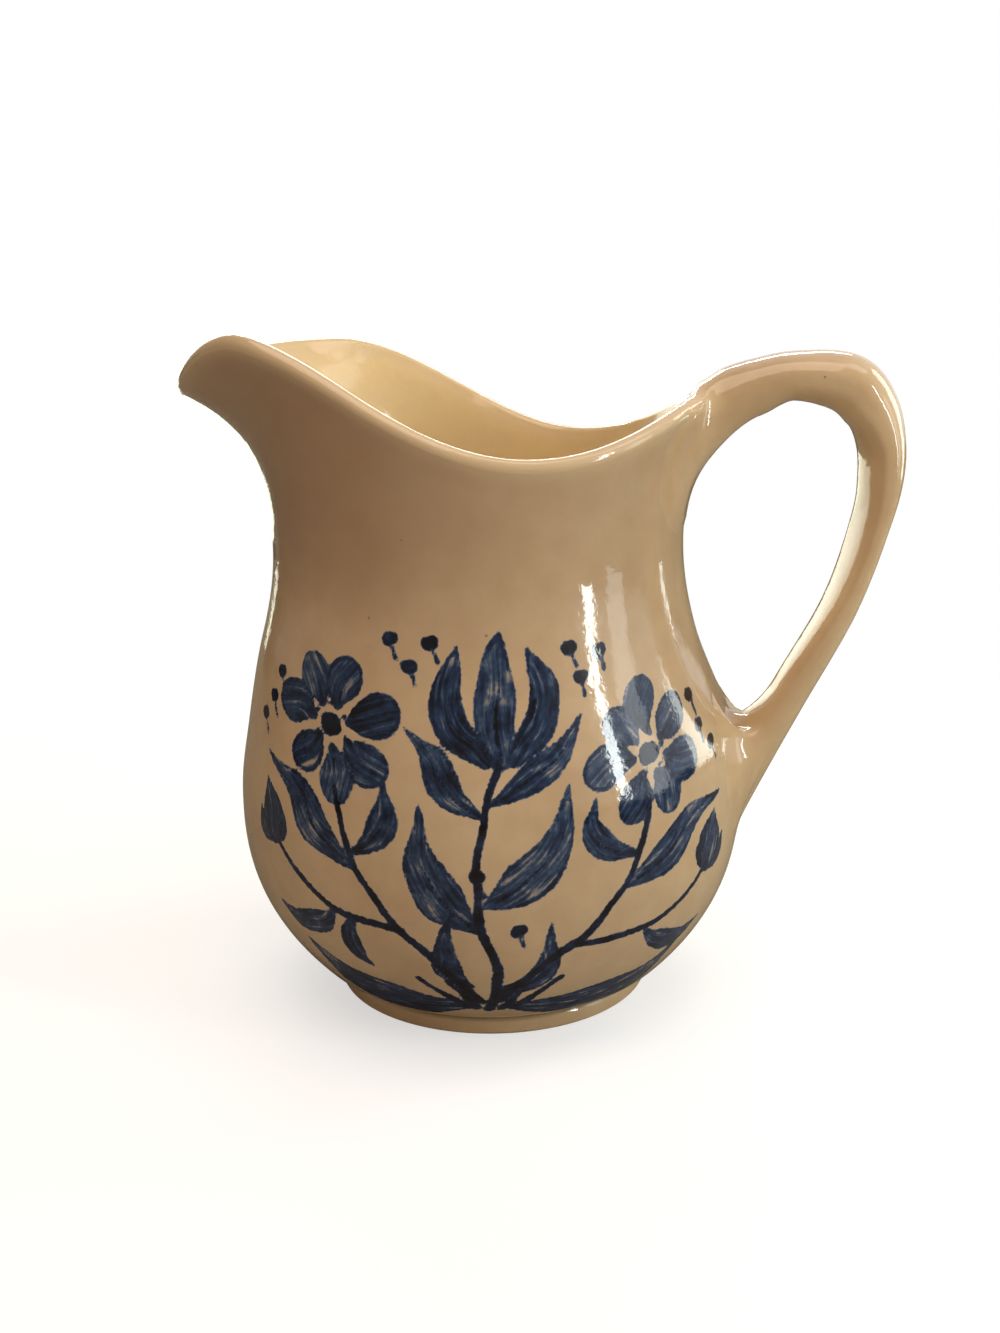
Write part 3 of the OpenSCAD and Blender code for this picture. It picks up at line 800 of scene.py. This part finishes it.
def add(tree, kind, inputs=None, **settings):
    """Add a node with its settings, and its inputs as values, sockets or whole nodes,
    of which the first output is taken."""
    made = tree.nodes.new(kind)
    for key, value in settings.items():
        setattr(made, key, value)
    for key, value in (inputs or {}).items():
        if isinstance(value, bpy.types.Node):
            value = value.outputs[0]
        if isinstance(value, bpy.types.NodeSocket):
            tree.links.new(value, made.inputs[key])
        else:
            made.inputs[key].default_value = value
    return made


MATH, RANGE, MIX = "ShaderNodeMath", "ShaderNodeMapRange", "ShaderNodeMix"
NOISE, COORDINATES, EMISSION = "ShaderNodeTexNoise", "ShaderNodeTexCoord", "ShaderNodeEmission"
BUMP, ATTRIBUTE, PRINCIPLED = "ShaderNodeBump", "ShaderNodeAttribute", "ShaderNodeBsdfPrincipled"
SPLIT, JOIN, OUTPUT = "ShaderNodeSeparateXYZ", "ShaderNodeCombineXYZ", "ShaderNodeOutputMaterial"


def new_material(name):
    made = bpy.data.materials.new(name)
    made.use_nodes = True
    made.node_tree.nodes.clear()
    return made, made.node_tree


# Stoneware under a transparent buff glaze, dipped and fired to a full gloss: a warm
# tan depth with a soft uneven tone, a gently rippled reflection and rare iron specks.
def buff_glaze(name, painted):
    made, tree = new_material(name)
    spot = add(tree, COORDINATES).outputs["Object"]
    # The glaze's uneven tone, its broad throwing waves and its finer orange peel
    cloud, mottle, wave, peel = (
        add(tree, NOISE, {"Vector": spot, "Scale": per_m(lump_mm), "Detail": detail,
                          "Roughness": rough})
        for lump_mm, detail, rough in ((46, 2.0, 0.5), (9, 3.0, 0.55), (15, 1.5, 0.4),
                                       (2.6, 2.0, 0.5)))
    tone = add(tree, MIX, {0: 0.38, 2: cloud, 3: mottle})
    body = add(tree, RANGE, {0: tone, 1: NOISE_LOW, 2: NOISE_HIGH})
    # Rare iron specks, up to about a millimetre across
    cells = add(tree, "ShaderNodeTexVoronoi", {"Vector": spot, "Scale": per_m(11)})
    chance = add(tree, "ShaderNodeSeparateColor", {0: cells.outputs["Color"]})
    size = add(tree, RANGE, {0: chance, 1: IRON_MISSING, 4: IRON_SIZE})
    speck = add(tree, MATH, {0: cells.outputs["Distance"], 1: size}, operation="SUBTRACT")
    iron = add(tree, RANGE, {0: speck, 1: IRON_SOFT, 2: -IRON_SOFT, 4: IRON_MOST})
    # The tones that the mesh carries: painted shade at the neck, painted light inside, thin on the
    # lip
    painted_shade, inside, thin = (add(tree, ATTRIBUTE, attribute_name=name).outputs["Fac"]
                             for name in ("painted_shade", "inside", "lip_thin"))
    thin = add(tree, MATH, {0: thin, 1: GLAZE_THIN_MOST}, operation="MULTIPLY")
    # Along the groove over the foot: pooled olive glaze, darkened further as painted shade
    height = add(tree, SPLIT, {0: spot}).outputs["Z"]
    off = add(tree, MATH, {0: height, 1: POOL_AND_SHADE_Z_M}, operation="SUBTRACT")
    off = add(tree, MATH, {0: off}, operation="ABSOLUTE")
    pool_and_shade = add(tree, RANGE, {0: off, 1: POOL_AND_SHADE_CORE_M, 2: POOL_AND_SHADE_EDGE_M, 3: GLAZE_POOL_AND_SHADE_MOST, 4: 0.0})
    skin = colour(GLAZE_DEEP)
    # Laid over the tone: iron, painted shade at the neck, painted light inside, the thin lip, and
    # the groove's pooled glaze and painted shade
    for share, code in ((body, GLAZE_PALE), (iron, IRON), (painted_shade, GLAZE_PAINTED_SHADE),
                        (inside, GLAZE_INSIDE_PAINTED_LIGHT), (thin, GLAZE_THIN), (pool_and_shade, GLAZE_POOL_AND_SHADE)):
        skin = add(tree, MIX, {0: share, 6: skin, 7: colour(code)}, data_type="RGBA").outputs[2]
    if painted:
        # Cobalt brushwork: density from streaks along each stroke, pooled at its edge
        wash_gap, line_gap, wash_load, line_load, along, side = (
            add(tree, ATTRIBUTE, attribute_name=name).outputs["Fac"] for name in
            ("wash_gap", "line_gap", "wash_load", "line_load", "grain_along", "grain_side"))
        feather = add(tree, NOISE, {"Vector": spot, "Scale": per_m(1.6), "Detail": 3.0,
                                    "Roughness": 0.6})
        ragged = add(tree, RANGE, {0: feather, 1: 0.25, 2: 0.75, 3: -RAGGED_MM, 4: RAGGED_MM})
        wash_mask, line_mask = (
            add(tree, RANGE, {0: add(tree, MATH, {0: gap, 1: ragged}, operation="ADD"),
                              1: clear_mm, 2: full_mm})
            for gap, clear_mm, full_mm in ((wash_gap, 0.22, -0.22), (line_gap, 0.26, -0.34)))
        ways = add(tree, JOIN, {0: along, 1: side})
        ways = add(tree, "ShaderNodeVectorMath", {0: ways, 1: STREAKS}, operation="MULTIPLY")
        streak = add(tree, NOISE, {"Vector": ways, "Scale": 1.0, "Detail": 3.0, "Roughness": 0.62})
        streak_load = add(tree, RANGE, {0: streak, 1: NOISE_LOW, 2: NOISE_HIGH, 3: 0.3, 4: 1.5})
        pooled = add(tree, NOISE, {"Vector": spot, "Scale": per_m(5.5), "Detail": 4.0,
                                   "Roughness": 0.65})
        pool_load = add(tree, RANGE, {0: pooled, 1: NOISE_LOW, 2: NOISE_HIGH, 3: 0.6, 4: 1.4})
        wash = add(tree, MATH, {0: wash_load, 1: streak_load}, operation="MULTIPLY")
        wash = add(tree, MATH, {0: wash, 1: wash_mask}, operation="MULTIPLY")
        line = add(tree, MATH, {0: line_load, 1: line_mask}, operation="MULTIPLY")
        both = add(tree, MATH, {0: wash, 1: line, 2: 0.12}, operation="SMOOTH_MAX")
        density = add(tree, MATH, {0: both, 1: pool_load}, operation="MULTIPLY")
        blue = add(tree, "ShaderNodeValToRGB", {0: density})
        stops = blue.color_ramp.elements
        for position, _ in COBALT[1:-1]:
            stops.new(position)
        for stop, (_, code) in zip(stops, COBALT):
            stop.color = colour(code)
        cover = add(tree, RANGE, {0: density, 2: COBALT_COVERS_AT, 4: COBALT_COVER})
        skin = add(tree, MIX, {0: cover, 6: skin, 7: blue}, data_type="RGBA").outputs[2]

    ripple = add(tree, BUMP, {"Height": wave, "Distance": 0.0009, "Strength": 0.35})
    surface = add(tree, BUMP, {"Height": peel, "Distance": 0.00016, "Strength": 0.42,
                               "Normal": ripple})
    rough = add(tree, RANGE, {0: mottle, 1: NOISE_LOW, 2: NOISE_HIGH, 3: 0.06, 4: 0.11})
    shader = add(tree, PRINCIPLED, {"Base Color": skin, "Roughness": rough, "IOR": 1.5,
                                    "Normal": surface})
    add(tree, OUTPUT, {0: shader})
    return made


glazed_wall.data.materials.append(buff_glaze("buff_stoneware_glaze_over_cobalt", painted=True))
plain_glaze = buff_glaze("buff_stoneware_glaze", painted=False)
loop_handle.data.materials.append(plain_glaze)

# Bare fired stoneware on the wiped tread: matt, sandy, a little toasted, with grog.
bare_stoneware, tree = new_material("bare_fired_stoneware")
spot = add(tree, COORDINATES).outputs["Object"]
toast = add(tree, NOISE, {"Vector": spot, "Scale": per_m(14), "Detail": 3.0})
sand = add(tree, NOISE, {"Vector": spot, "Scale": per_m(0.9), "Detail": 2.0})
clay = add(tree, MIX, {0: toast, 6: colour(CLAY_TOASTED), 7: colour(CLAY_PALE)}, data_type="RGBA")
grog = add(tree, RANGE, {0: sand, 1: 0.62, 2: 0.7, 4: 0.45})
clay = add(tree, MIX, {0: grog, 6: clay.outputs[2], 7: colour(CLAY_GROG)}, data_type="RGBA")
grit = add(tree, BUMP, {"Height": sand, "Distance": 0.0003, "Strength": 0.5})
matt = add(tree, PRINCIPLED, {"Base Color": clay.outputs[2], "Roughness": 0.85, "Normal": grit})
add(tree, OUTPUT, {0: matt})

# The foot ring: a band turned round the axis, rounded at the tread and at the groove. A
# node tree sweeps its section round, so its sizes stay named.
FOOT_SIDES, FOOT_ARC_STEPS, FOOT_TOP_ROUND, TREAD_BARE_Z = 240, 8, 1.1, 0.9
foot_sizes = {"Outer radius": FOOT_R * MM, "Width": FOOT_W * MM, "Height": FOOT_H * MM,
              "Tread rounding": FOOT_ROUND * MM, "Groove rounding": FOOT_TOP_ROUND * MM,
              "Bare height": TREAD_BARE_Z * MM, "Sides": FOOT_SIDES}


def foot_tree(band_material, tread_material):
    tree = bpy.data.node_groups.new("turned_foot_ring", "GeometryNodeTree")
    for name, size in foot_sizes.items():
        kind = "NodeSocketInt" if isinstance(size, int) else "NodeSocketFloat"
        tree.interface.new_socket(name, in_out="INPUT", socket_type=kind)
    tree.interface.new_socket("Geometry", in_out="OUTPUT", socket_type="NodeSocketGeometry")
    sizes = tree.nodes.new("NodeGroupInput").outputs
    half_width, half_height = (
        add(tree, MATH, {0: sizes[name], 1: 0.5}, operation="MULTIPLY")
        for name in ("Width", "Height"))
    middle = add(tree, MATH, {0: sizes["Outer radius"], 1: half_width}, operation="SUBTRACT")
    path = add(tree, "GeometryNodeCurvePrimitiveCircle",
               {"Resolution": sizes["Sides"], "Radius": middle}, mode="RADIUS")
    block = add(tree, "GeometryNodeCurvePrimitiveQuadrilateral",
                {"Width": sizes["Width"], "Height": sizes["Height"]}, mode="RECTANGLE")
    position = add(tree, "GeometryNodeInputPosition")
    at_tread = add(tree, "FunctionNodeCompare",
                   {"A": add(tree, SPLIT, {0: position}).outputs["Y"], "B": 0.0},
                   data_type="FLOAT", operation="LESS_THAN")
    rounding = add(tree, "GeometryNodeSwitch",
                   {"Switch": at_tread, "False": sizes["Groove rounding"],
                    "True": sizes["Tread rounding"]}, input_type="FLOAT")
    section = add(tree, "GeometryNodeFilletCurve",
                  {"Curve": block, "Count": FOOT_ARC_STEPS, "Radius": rounding,
                   "Limit Radius": True}, mode="POLY")
    swept = add(tree, "GeometryNodeCurveToMesh", {"Curve": path, "Profile Curve": section})
    stood = add(tree, "GeometryNodeSetPosition",
                {"Geometry": swept, "Offset": add(tree, JOIN, {2: half_height})})
    bare = add(tree, "FunctionNodeCompare",
               {"A": add(tree, SPLIT, {0: position}).outputs["Z"], "B": sizes["Bare height"]},
               data_type="FLOAT", operation="LESS_THAN")
    for where, material in ((True, band_material), (bare, tread_material)):
        stood = add(tree, "GeometryNodeSetMaterial",
                    {"Geometry": stood, "Selection": where, "Material": material})
    whole = add(tree, "GeometryNodeRealizeInstances", {"Geometry": stood})
    add(tree, "NodeGroupOutput", {0: whole})
    return tree


seed = bpy.data.objects.new("foot_seed", bpy.data.meshes.new("foot_seed"))
scene.collection.objects.link(seed)
turned = seed.modifiers.new("turned", "NODES")
turned.node_group = foot_tree(plain_glaze, bare_stoneware)
for socket in turned.node_group.interface.items_tree:
    if socket.in_out == "INPUT":
        turned[socket.identifier] = foot_sizes[socket.name]
evaluated = seed.evaluated_get(bpy.context.evaluated_depsgraph_get())
foot_mesh = bpy.data.meshes.new_from_object(evaluated)
bpy.data.objects.remove(seed)
foot_mesh.name = "foot_band"
foot_band = shown("foot_band", foot_mesh)

for piece, nodes, slot in ((glazed_wall, ("base", "belly", "neck", "rim", "spout"), "glazed_clay"),
                           (loop_handle, ("upper_root", "handle", "lower_root"), "glazed_clay"),
                           (foot_band, ("foot_ring",), "bare_foot")):
    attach(piece, "root")
    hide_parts(*nodes)

# Stage: a white floor that keeps the shadow, a white surround and soft lamps
scene.view_settings.view_transform = "Standard"

FLOOR_HALF, FLOOR_Z = 6000.0, -0.05
PAPER, TABLE, PAPER_GLOW, FADE_FROM_M, FADE_TO_M = "#B4B2B2", "#746E66", 0.6, 0.22, 0.5
WHITE = (1, 1, 1, 1)
floor = mesh_object("floor", [(x * FLOOR_HALF, y * FLOOR_HALF, FLOOR_Z)
                              for x, y in ((-1, -1), (1, -1), (1, 1), (-1, 1))], [(0, 1, 2, 3)])
# White paper to the eye, which fades to plain white away from the shadow. Reflections
# show it as the dull table of the photograph, and the light it throws back is its own.
white_paper, tree = new_material("white_paper_sweep")
rays = add(tree, "ShaderNodeLightPath").outputs
sheet = add(tree, MIX, {0: rays["Is Glossy Ray"], 6: colour(PAPER), 7: colour(TABLE)},
            data_type="RGBA")
paper = add(tree, "ShaderNodeBsdfDiffuse", {"Color": sheet.outputs[2]})
glow = add(tree, MATH, {0: rays["Is Camera Ray"], 1: PAPER_GLOW}, operation="MULTIPLY")
glow = add(tree, EMISSION, {"Color": WHITE, "Strength": glow})
near = add(tree, "ShaderNodeAddShader", {0: paper, 1: glow})
away = add(tree, "ShaderNodeVectorMath", {0: add(tree, COORDINATES).outputs["Object"]},
           operation="LENGTH")
fade = add(tree, RANGE, {0: away.outputs["Value"], 1: FADE_FROM_M, 2: FADE_TO_M})
fade = add(tree, MATH, {0: fade, 1: rays["Is Camera Ray"]}, operation="MULTIPLY")
white = add(tree, EMISSION, {"Color": WHITE})
add(tree, OUTPUT, {0: add(tree, "ShaderNodeMixShader", {0: fade, 1: near, 2: white})})
floor.data.materials.append(white_paper)

# Surround: white to the eye. The gloss shows a bright wall above the horizon, behind
# and to the right, and a dim room elsewhere.
AMBIENT, AMBIENT_TINT = 0.14, "#FFDFC2"
LIT_WAY, LIT_FROM, LIT_FULL = (0.6, 0.8, 0.0), -0.25, 0.35
HORIZON_FROM, HORIZON_FULL, BELOW_HORIZON, DIM_ROOM = -0.12, 0.06, 0.12, 0.13
world = bpy.data.worlds.new("white_surround")
scene.world = world
world.use_nodes = True
tree = world.node_tree
tree.nodes.clear()
rays = add(tree, "ShaderNodeLightPath").outputs
seen = add(tree, MATH, {0: rays["Is Camera Ray"], 1: rays["Is Glossy Ray"]}, operation="MAXIMUM")
seen = add(tree, MATH, {0: seen, 1: rays["Is Transmission Ray"]}, operation="MAXIMUM")
fill = add(tree, "ShaderNodeBackground", {"Color": colour(AMBIENT_TINT), "Strength": AMBIENT})
toward = add(tree, COORDINATES).outputs["Generated"]
way = add(tree, "ShaderNodeVectorMath", {0: toward, 1: LIT_WAY}, operation="DOT_PRODUCT")
lit_side = add(tree, RANGE, {0: way.outputs["Value"], 1: LIT_FROM, 2: LIT_FULL})
height = add(tree, SPLIT, {0: toward}).outputs["Z"]
lit_height = add(tree, RANGE, {0: height, 1: HORIZON_FROM, 2: HORIZON_FULL, 3: BELOW_HORIZON})
level = add(tree, MATH, {0: lit_side, 1: lit_height}, operation="MULTIPLY")
level = add(tree, RANGE, {0: level, 3: DIM_ROOM})
level = add(tree, MATH, {0: level, 1: rays["Is Camera Ray"]}, operation="MAXIMUM")
white = add(tree, "ShaderNodeBackground", {"Color": WHITE, "Strength": level})
both = add(tree, "ShaderNodeMixShader", {0: seen, 1: fill, 2: white})
add(tree, "ShaderNodeOutputWorld", {0: both})

# Lamps: name, place and aim in millimetres, width, height, watts, tint and whether the
# gloss shows them
for name, place_mm, aim_mm, width_mm, height_mm, watts, tint, in_gloss in (
        ("ceiling", (-45, -330, 1130), (0, 0, 90), 900, 900, 8.0, "#FFEDDD", True),
        ("room", (-90, -950, 150), (0, 0, 80), 900, 360, 2.0, "#FFEDDD", False),
        ("high_right", (545, -10, 960), (0, 0, 90), 340, 340, 0.8, "#F6FAF6", True),
        ("window", (620, -270, 300), (0, 0, 110), 60, 420, 1.8, "#F2FAF8", True),
        ("window_side", (700, -75, 260), (0, 0, 110), 150, 420, 0.55, "#F2FAF8", True),
        ("side_wall", (620, 330, 330), (0, 0, 110), 240, 600, 2.4, "#F4FAF0", True),
        ("transom", (-100, 660, 640), (0, 0, 150), 800, 60, 2.6, "#FFFFF4", True),
        ("back_wall", (-420, 830, 335), (20, 0, 320), 700, 650, 3.2, "#FBFFE6", True)):
    light = bpy.data.lights.new(name, "AREA")
    light.shape = "RECTANGLE"
    light.size, light.size_y, light.energy = width_mm * MM, height_mm * MM, watts
    light.color = colour(tint)[:3]
    lamp = bpy.data.objects.new(name, light)
    lamp.visible_glossy = in_gloss
    lamp.location = Vector(place_mm) * MM
    aim = Vector(aim_mm) - Vector(place_mm)
    lamp.rotation_euler = aim.to_track_quat("-Z", "Y").to_euler()
    scene.collection.objects.link(lamp)

# The camera, at the photograph's viewing angle
LENS_F_PX, LONG_SIDE_PX, SENSOR_MM, CAMERA_SHIFT, CLIP_START_M = 1410.46, 1333.0, 36.0, 0.0022, 0.01
CAMERA_AT, CAMERA_AHEAD = (69.97, -420.21, 199.57), (-0.15476873, 0.961, -0.22918473)
CAMERA_RIGHT = (0.98764796, 0.15624331, -0.01181231)
camera_data = bpy.data.cameras.new("camera")
camera_data.sensor_width = SENSOR_MM
camera_data.lens = LENS_F_PX * SENSOR_MM / LONG_SIDE_PX
camera_data.shift_x = CAMERA_SHIFT
camera_data.clip_start = CLIP_START_M
camera = bpy.data.objects.new("camera", camera_data)
scene.collection.objects.link(camera)
ahead, right = Vector(CAMERA_AHEAD).normalized(), Vector(CAMERA_RIGHT).normalized()
axes = (right, right.cross(ahead), -ahead, Vector(CAMERA_AT) * MM)
camera.matrix_world = Matrix([[axis[i] for axis in axes] for i in range(3)] + [[0, 0, 0, 1]])
scene.camera = camera

bpy.context.view_layer.update()
